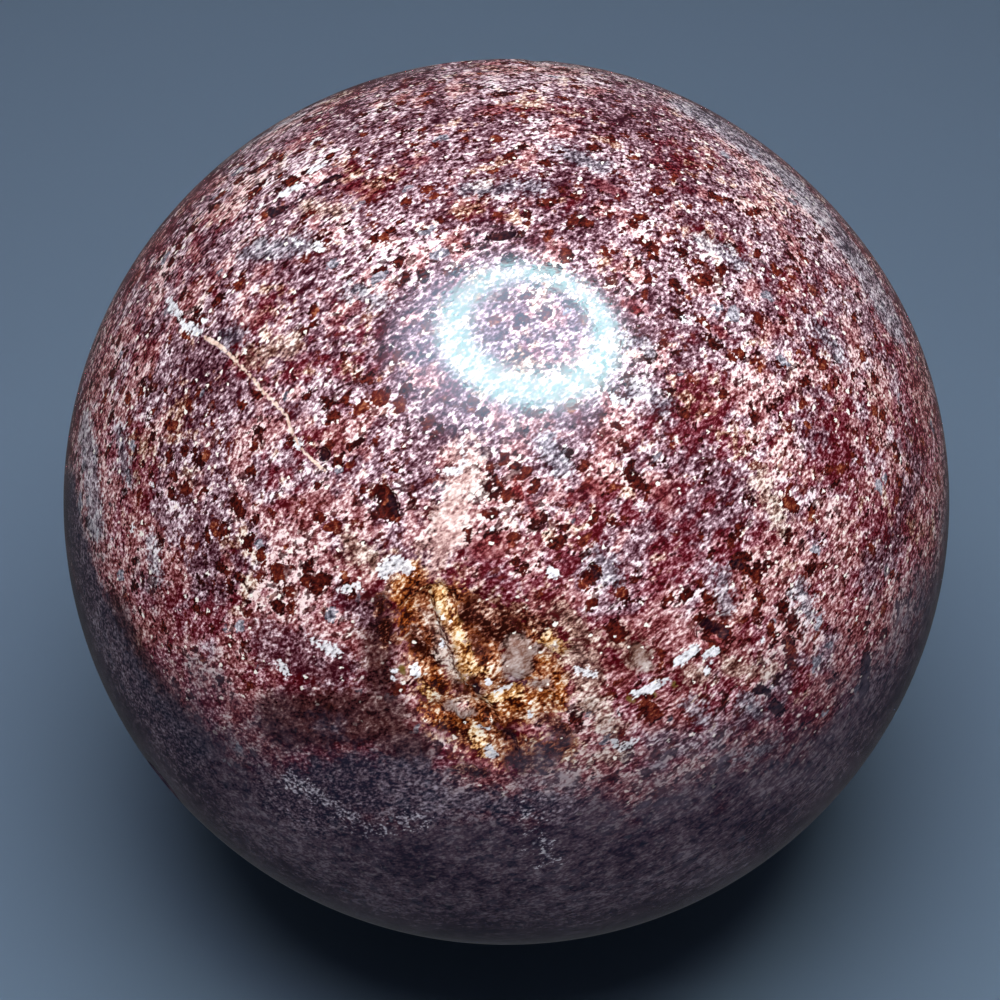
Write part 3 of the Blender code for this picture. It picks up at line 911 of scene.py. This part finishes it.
# Noise that is alike every way: size in millimetres, detail and roughness
CLOUD_NOISES = {
    "zones": (6.0, 1.0, 0.55),
    "hues": (3.5, 2.0, 0.55),
    "patches": (2.4, 1.0, 0.55),
    "stains": (1.3, 2.0, 0.55),
    "edge": (0.7, 2.0, 0.65),
}
# How uneven and how soft the outlines of the wide areas of painted shade are, in millimetres
SOFT_AREAS = {"dim_shade": (1.5, 1.5), "shade": (3.0, 1.2)}
# How far the noise pulls the garnet lumps out of shape
LUMP_WARP = (1.1, 2.0, 1.1)

# The painted shade of the underside ends at this height over the floor, and lower towards the back
PAINTED_SHADE_HEIGHT = CENTRE_HEIGHT + 5.0 * MM
PAINTED_SHADE_SLOPE = 0.45

# What is blended from the noises, the marks and the height: how much of each goes in.
# The share of "one" is added as it is.
BLENDS = {
    # where things lie
    # painted shade in the dim areas: the ground there is darker and more mauve
    "mauve_ground": {"hues": 1.0, "zones": 0.6, "clumps": 0.8, "height": 0.020, "dim_shade": 0.25},
    "brown_ground": {"hues": -1.0, "clumps": 0.7, "edge": 0.6, "rust_depth": 0.06},
    "rose_ground": {"patches": 1.0, "zones": 0.5, "clumps": 0.4, "height": -0.010, "dim_shade": -0.15},
    "speck_reach": {"specks": 1.0, "strokes": -0.5, "zones": 0.25},
    "lump_reach": {"lump_size": 0.26, "lump_distance": -1.0, "zones": 0.45, "strokes": -0.45, "edge": 0.5},
    # where the painted shade of the underside lies
    "painted_shade_reach": {"height": -1.0, "behind": -PAINTED_SHADE_SLOPE, "edge": 3.0, "clumps": 5.0, "hues": 9.0,
                   "zones": 7.0, "one": PAINTED_SHADE_HEIGHT / MM},
    "spark_reach": {"spark_size": 0.24, "spark_distance": -1.0, "strokes": 0.7},
    # outlines of the markings
    "rough_edge": {"edge": 1.0, "strokes": 1.0},
    "garnet_edge": {"edge": 0.8, "strokes": -1.0},
    "dark_edge": {"edge": 0.6, "strokes": -0.6},
    "crystal_edge": {"edge": 1.2, "strokes": 1.0},
    # tones
    "tone": {"strokes": 2.45, "clumps": 1.7, "zones": 1.0, "dim_shade": -0.09, "one": 0.495},
    "garnet_tone": {"lump_hue": 0.5, "strokes": 2.0, "edge": 1.0, "one": 0.14},
    "clear_tone": {"lump_hue": 0.2, "strokes": 2.0, "one": 0.40},
    "dull_and_shade_tone": {"strokes": 1.5, "clumps": 1.5, "edge": 0.6, "one": 0.34},
    "smoky_tone": {"tone": 1.0, "one": -0.13},
    "lavender_tone": {"tone": 1.0, "one": -0.02},
    "cream_tone": {"tone": 0.8, "one": 0.18},
    "crimson_tone": {"tone": 0.8, "one": -0.02},
    "rust_tone": {"strokes": 2.6, "stains": 1.8, "edge": 0.6, "one": 0.42},
    "bright_rust_tone": {"rust_tone": 1.0, "one": 0.08},
    "dark_rust_tone": {"rust_tone": 1.0, "one": -0.31},
    "quartz_tone": {"tone": 0.45, "stains": 0.6},
    "dark_tone": {"strokes": 1.6, "edge": 0.8, "one": 0.42},
    "pale_tone": {"strokes": 2.6, "edge": 0.6, "one": 0.62},
    "vein_tone": {"strokes": 1.0, "edge": 0.8, "one": 0.50},
    "white_tone": {"strokes": 2.0, "edge": 1.0, "one": 0.60},
    # tones of the painted shade of the underside
    "painted_shade_tone": {"strokes": 0.25, "netted": 1.3, "clumps": 0.5, "edge": 0.3, "zones": 0.4, "shade": 0.05,
                  "height": 0.001, "one": 0.085},
}
# The ground is crimson with other colours over it: between which values of its blend each comes in,
# and how much it covers
GROUND = {
    "mauve_ground": (0.81, 1.03, 1.0, MAUVE_TONES),
    "brown_ground": (-0.09, 0.08, 1.0, BROWN_TONES),
    "rose_ground": (-0.50, -0.38, 0.8, ROSE_TONES),
}
# The markings in the order in which they lie over each other: blend of the outline, how uneven and how soft
# it is in millimetres, how much the marking covers, and its blend of tones
MARK_LOOKS = {
    # dull dark patches, partly painted shade
    "dull_and_shade": ("edge", 1.6, 0.8, 0.93, "dull_and_shade_tone", DULL_AND_SHADE_TONES),
    "smoky": ("rough_edge", 2.2, 0.5, 0.75, "smoky_tone", MAUVE_TONES),
    "lavender": ("rough_edge", 2.2, 0.4, 0.70, "lavender_tone", GREY_TONES),
    "cream": ("rough_edge", 2.4, 0.5, 0.85, "cream_tone", CREAM_TONES),
    "crimson": ("rough_edge", 1.2, 0.25, 0.65, "crimson_tone", RED_TONES),
    "rust": ("rough_edge", 2.0, 0.3, 1.0, "rust_tone", RUST_BODY_TONES),
    "rust_red": ("rough_edge", 1.6, 0.2, 1.0, "rust_tone", RUST_TONES),
    "rust_bright": ("rough_edge", 1.8, 0.2, 1.0, "bright_rust_tone", BRIGHT_RUST_TONES),
    "rust_dark": ("rough_edge", 1.8, 0.2, 1.0, "dark_rust_tone", BROWN_TONES),
    "tan": ("rough_edge", 2.4, 0.5, 0.80, "tone", TAN_TONES),
    "quartz": ("rough_edge", 1.3, 0.3, 1.0, "quartz_tone", QUARTZ_TONES),
    "olive": ("rough_edge", 0.6, 0.1, 0.80, "tone", OLIVE_TONES),
    "garnets": ("garnet_edge", 1.0, 0.06, 1.0, "garnet_tone", GARNET_TONES),
    "dark": ("dark_edge", 1.0, 0.06, 1.0, "dark_tone", DARK_TONES),
    "pale": ("strokes", 1.4, 0.06, 0.85, "pale_tone", PALE_TONES),
    "vein": ("edge", 0.25, 0.04, 1.0, "vein_tone", VEIN_TONES),
    "white": ("rough_edge", 0.7, 0.05, 1.0, "white_tone", PALE_TONES),
}
BELT_CRYSTAL_LOOK = ("crystal_edge", 3.6, 0.3, 0.45, "tone", GREY_TONES)
# Between which values a thing begins and is full, and how much the specks and the painted shade of the
# underside cover
SPECK_RIM = (0.10, 0.15)
SPECK_COVER = 0.8
LUMP_RIM = (-0.18, -0.10)
CLEAR_LUMPS = (0.93, 0.95)
PAINTED_SHADE_RIM = (-5.5, 4.5)
PAINTED_SHADE_COVER = 0.93
SPARK_RIM = (0.0, 0.05)
SPARK_CHOICE = (0.25, 0.27)

# Sparks are dimmer under the painted shade of the underside and in the dull places, which are partly painted
# shade; the gloss is weaker where the skin is unpolished, and a little weaker under the painted shade
SPARK_STRENGTH = {"painted_shade": -0.97, "dull_and_shade": -0.8, "one": 1.0}
GLOSS = {
    "Roughness": {"matt": 0.45, "one": 0.06},
    "Coat Weight": {"matt": -0.2, "painted_shade": -0.12, "one": 0.2},
    "Specular IOR Level": {"matt": -0.46, "painted_shade": -0.25, "one": 0.5},
}
EVEN_GLOSS = {"IOR": 1.33, "Coat Roughness": 0.24, "Coat IOR": 1.4}
BUMP_HEIGHT = 0.008 * MM


def layer_axes():
    """Rotation of the grains: their length, their width and the way that their flat sides face."""
    thin = (FACE_TURN @ Vector(LAYERS_FACE)).normalized()
    along_face = FACE_TURN @ Vector((math.cos(LONG_TURN), math.sin(LONG_TURN), 0))
    wide = thin.cross(along_face).normalized()
    return Matrix((wide.cross(thin), wide, thin)).transposed().to_euler()


def in_units(tree, place, size, rotation=(0.0, 0.0, 0.0)):
    """The place in units of a size, along turned axes."""
    mapping = new_node(tree, "Mapping", {"Vector": place, "Rotation": rotation, "Scale": size},
                       vector_type="TEXTURE")
    return mapping.outputs["Vector"]


def in_grains(tree, place, size):
    """The place in units of a grain's length, width and thickness."""
    return in_units(tree, place, size, tuple(layer_axes()))


def cloud(tree, place, scale, detail, roughness):
    """Soft noise about zero."""
    node = new_node(tree, "TexNoise", {
        "Vector": place, "Scale": scale, "Detail": detail, "Roughness": roughness,
    })
    return math_node(tree, "SUBTRACT", node.outputs["Fac"], 0.5)


def weighted(tree, *values):
    """The sum of values times their weights."""
    total = 0.0
    for value, weight in values:
        total = new_node(tree, "Math", {0: value, 1: weight, 2: total}, operation="MULTIPLY_ADD").outputs[0]
    return total


def blend(tree, parts, shares):
    """The sum of named parts times their shares."""
    return weighted(tree, *((parts[name], share) for name, share in shares.items()))


def cells(tree, place):
    """Distance to the nearest cell's middle, and three random numbers of that cell."""
    node = new_node(tree, "TexVoronoi", {"Vector": place, "Scale": 1.0})
    chance = new_node(tree, "SeparateColor", {"Color": node.outputs["Color"]})
    return node.outputs["Distance"], *chance.outputs


def read_attribute(tree, name):
    return new_node(tree, "Attribute", attribute_name=name).outputs["Fac"]


def inside_mark(tree, name, edge, uneven, soft):
    """1 inside a kind of marking, with an outline made uneven by noise."""
    depth = read_attribute(tree, name)
    return spread(tree, weighted(tree, (edge, uneven), (depth, 1.0)), -soft, soft)


def lay_over(tree, colour, share, cover, top):
    """The colour with another over it, where the share says and as far as it covers."""
    return mix_colour(tree, math_node(tree, "MULTIPLY", share, cover), colour, top)


def rock_parts(tree, place):
    """Everything that the looks of the rock are blended from, by name."""
    parts = {"one": 1.0}
    for name, (size, *settings) in GRAIN_NOISES.items():
        parts[name] = cloud(tree, in_grains(tree, place, size), *settings)
    for name, (size, *settings) in CLOUD_NOISES.items():
        parts[name] = cloud(tree, place, 1 / (size * MM), *settings)
    axes = new_node(tree, "SeparateXYZ", {0: place}).outputs
    parts["height"] = math_node(tree, "DIVIDE", axes["Z"], MM)
    parts["behind"] = math_node(tree, "DIVIDE", math_node(tree, "MAXIMUM", axes["Y"]), MM)
    parts["rust_depth"] = read_attribute(tree, "rust")
    parts["matt"] = read_attribute(tree, "matt")
    for name, (uneven, soft) in SOFT_AREAS.items():
        parts[name] = inside_mark(tree, name, parts["edge"], uneven, soft)
    parts["netted"] = math_node(tree, "MULTIPLY", parts["strokes"], parts["shade"])
    warp = new_node(tree, "CombineXYZ", {0: parts["edge"], 1: parts["hues"], 2: parts["clumps"]}).outputs[0]
    lump_space = new_node(tree, "VectorMath", {
        0: warp, 1: LUMP_WARP, 2: in_grains(tree, place, GARNET_SIZE),
    }, operation="MULTIPLY_ADD").outputs[0]
    spark_space = in_units(tree, place, (SPARK_SPACING,) * 3)
    for kind, space in (("lump", lump_space), ("spark", spark_space)):
        for name, value in zip(("distance", "size", "kind", "hue"), cells(tree, space)):
            parts[kind + "_" + name] = value
    for name, shares in BLENDS.items():
        parts[name] = blend(tree, parts, shares)
    return parts


def lay_mark(tree, parts, colour, name, look):
    """The colour with a kind of marking over it."""
    edge, uneven, soft, cover, tone, tones = look
    parts[name] = inside_mark(tree, name, parts[edge], uneven, soft)
    return lay_over(tree, colour, parts[name], cover, ramp(tree, parts[tone], tones))


def rock_colour(tree, parts):
    """Speckled garnet rock with its grains, vein, rust and crystals."""
    colour = ramp(tree, parts["tone"], CRIMSON_TONES)
    for name, (low, high, cover, tones) in GROUND.items():
        share = spread(tree, parts[name], low, high)
        colour = lay_over(tree, colour, share, cover, ramp(tree, parts["tone"], tones))

    # Dark red to orange-brown grains: specks, and lumps of up to a millimetre, some of clear grey quartz
    garnet = ramp(tree, parts["garnet_tone"], GARNET_TONES)
    clear = ramp(tree, parts["clear_tone"], GREY_TONES)
    lump_colour = mix_colour(tree, spread(tree, parts["lump_kind"], *CLEAR_LUMPS), garnet, clear)
    colour = lay_over(tree, colour, spread(tree, parts["speck_reach"], *SPECK_RIM), SPECK_COVER, garnet)
    colour = mix_colour(tree, spread(tree, parts["lump_reach"], *LUMP_RIM), colour, lump_colour)
    for name, look in MARK_LOOKS.items():
        colour = lay_mark(tree, parts, colour, name, look)

    # Painted shade: the underside is darker and smoother below an uneven line
    parts["painted_shade"] = math_node(tree, "MAXIMUM", spread(tree, parts["painted_shade_reach"], *PAINTED_SHADE_RIM), parts["shade"])
    colour = lay_over(tree, colour, parts["painted_shade"], PAINTED_SHADE_COVER, ramp(tree, parts["painted_shade_tone"], PAINTED_SHADE_TONES))
    colour = lay_mark(tree, parts, colour, "belt_crystals", BELT_CRYSTAL_LOOK)

    # Small bright crystals
    spark = spread(tree, parts["spark_reach"], *SPARK_RIM)
    spark = math_node(tree, "MULTIPLY", spark, spread(tree, parts["spark_kind"], *SPARK_CHOICE))
    # the sparks fade under the painted shade of the underside and in the partly shaded dull places
    spark = math_node(tree, "MULTIPLY", spark, blend(tree, parts, SPARK_STRENGTH))
    return mix_colour(tree, spark, colour, SPARK_COLOUR)


def rock_material():
    """The rock with its polish, which is missing in the pits and in the rusty hollow."""
    material = bpy.data.materials.new("garnet_rock_skin")
    material.use_nodes = True
    tree = material.node_tree
    shader = tree.nodes["Principled BSDF"]
    parts = rock_parts(tree, new_node(tree, "TexCoord").outputs["Object"])
    tree.links.new(rock_colour(tree, parts), shader.inputs["Base Color"])
    for name, shares in GLOSS.items():
        tree.links.new(blend(tree, parts, shares), shader.inputs[name])
    for name, value in EVEN_GLOSS.items():
        shader.inputs[name].default_value = value
    bump = new_node(tree, "Bump", {"Strength": 1.0, "Distance": BUMP_HEIGHT, "Height": parts["strokes"]})
    tree.links.new(bump.outputs["Normal"], shader.inputs["Normal"])
    return material


def make_floor():
    """A plain pale floor, which the polish doesn't mirror."""
    mesh = bmesh.new()
    bmesh.ops.create_grid(mesh, x_segments=1, y_segments=1, size=FLOOR_SIZE / 2)
    data = bpy.data.meshes.new("floor")
    mesh.to_mesh(data)
    mesh.free()
    floor = bpy.data.objects.new("floor", data)
    bpy.context.scene.collection.objects.link(floor)
    material = bpy.data.materials.new("pale_floor")
    material.use_nodes = True
    shader = material.node_tree.nodes["Principled BSDF"]
    shader.inputs["Base Color"].default_value = FLOOR_COLOUR
    shader.inputs["Roughness"].default_value = FLOOR_ROUGHNESS
    data.materials.append(material)
    floor.visible_glossy = False


def make_glow(name, mesh, matrix, colour, strength):
    """A glowing flat shape that the camera doesn't see."""
    bmesh.ops.transform(mesh, matrix=matrix, verts=mesh.verts)
    data = bpy.data.meshes.new(name)
    mesh.to_mesh(data)
    mesh.free()
    glow = bpy.data.objects.new(name, data)
    bpy.context.scene.collection.objects.link(glow)
    material = bpy.data.materials.new(name)
    material.use_nodes = True
    tree = material.node_tree
    tree.nodes.remove(tree.nodes["Principled BSDF"])
    light = new_node(tree, "Emission", {"Color": colour, "Strength": strength})
    tree.links.new(light.outputs[0], tree.nodes["Material Output"].inputs["Surface"])
    data.materials.append(material)
    glow.visible_camera = False
    return glow


def soften(glow, middle, reach, strength):
    """Let a glowing shape fade out with distance from its middle."""
    tree = glow.data.materials[0].node_tree
    place = new_node(tree, "TexCoord").outputs["Object"]
    away = new_node(tree, "VectorMath", {0: place, 1: middle}, operation="DISTANCE").outputs["Value"]
    fade = new_node(tree, "MapRange", {
        "Value": away, "From Min": reach[0], "From Max": reach[1], "To Min": strength, "To Max": 0.0,
    }, interpolation_type="SMOOTHSTEP")
    tree.links.new(fade.outputs["Result"], tree.nodes["Emission"].inputs["Strength"])


def make_lamps(ball):
    """A round lamp overhead, whose ring shows in the polish, and soft panels round the ball."""
    over = Matrix.Translation(LAMP_PLACE) @ Matrix.Rotation(LAMP_TILT, 4, "X")
    key_place = Matrix.Translation((KEY_PLACE[0], KEY_PLACE[1], LAMP_HEIGHT))
    ring = bmesh.new()
    for radius in (LAMP_OUTER, LAMP_INNER):
        bmesh.ops.create_circle(ring, segments=LAMP_CORNERS, radius=radius)
    bmesh.ops.bridge_loops(ring, edges=ring.edges[:])
    lamp = make_glow("lamp_ring", ring, over, LAMP_COLOUR, LAMP_GLOW)
    lamp.visible_diffuse = False
    lamp.visible_shadow = False
    halo = bmesh.new()
    bmesh.ops.create_circle(halo, segments=LAMP_CORNERS, radius=HALO_REACH[1], cap_ends=True)
    behind = over @ Matrix.Translation(HALO_OFFSET)
    around = make_glow("lamp_halo", halo, behind, HALO_COLOUR, HALO_GLOW)
    soften(around, behind.translation, HALO_REACH, HALO_GLOW)
    around.visible_diffuse = False
    around.visible_shadow = False
    disc = bmesh.new()
    bmesh.ops.create_circle(disc, segments=LAMP_CORNERS // 2, radius=KEY_RADIUS, cap_ends=True)
    key = make_glow("lamp_disc", disc, key_place, KEY_COLOUR, KEY_GLOW)
    key.visible_glossy = False
    lit = bpy.data.collections.new("lit_by_panels")
    lit.objects.link(ball)
    for name, (azimuth, strength) in PANELS.items():
        panel = bmesh.new()
        bmesh.ops.create_grid(panel, x_segments=1, y_segments=1, size=PANEL_SIZE / 2)
        away = Matrix.Translation((0, 0, PANEL_DISTANCE))
        raised = Matrix.Rotation(math.pi / 2 - PANEL_ELEVATION, 4, "X") @ away
        matrix = Matrix.Rotation(math.radians(azimuth), 4, "Z") @ raised
        glow = make_glow("panel_" + name, panel, matrix, KEY_COLOUR, strength)
        glow.visible_glossy = False
        glow.light_linking.receiver_collection = lit


def make_sky():
    world = bpy.data.worlds.new("soft_room")
    world.use_nodes = True
    background = world.node_tree.nodes["Background"]
    background.inputs["Color"].default_value = SKY_COLOUR
    background.inputs["Strength"].default_value = SKY_STRENGTH
    bpy.context.scene.world = world


def make_camera():
    data = bpy.data.cameras.new("camera")
    data.lens = CAMERA_LENS
    data.shift_x, data.shift_y = CAMERA_SHIFT
    camera = bpy.data.objects.new("camera", data)
    camera.location = Vector((0, 0, CENTRE_HEIGHT)) + FACE_AXIS * CAMERA_DISTANCE
    camera.rotation_euler = (math.pi / 2 - FACE_ELEVATION, 0, 0)
    bpy.context.scene.collection.objects.link(camera)
    bpy.context.scene.camera = camera


def main():
    make_camera()
    make_sky()
    make_floor()
    ball = bpy.data.objects.new("garnet_ball_skin", make_ball_skin())
    ball.data.materials.append(rock_material())
    bpy.context.scene.collection.objects.link(ball)
    make_lamps(ball)
    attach(ball, "root")
    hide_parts("garnet_ball")
    bpy.context.scene.view_settings.view_transform = "Standard"


main()
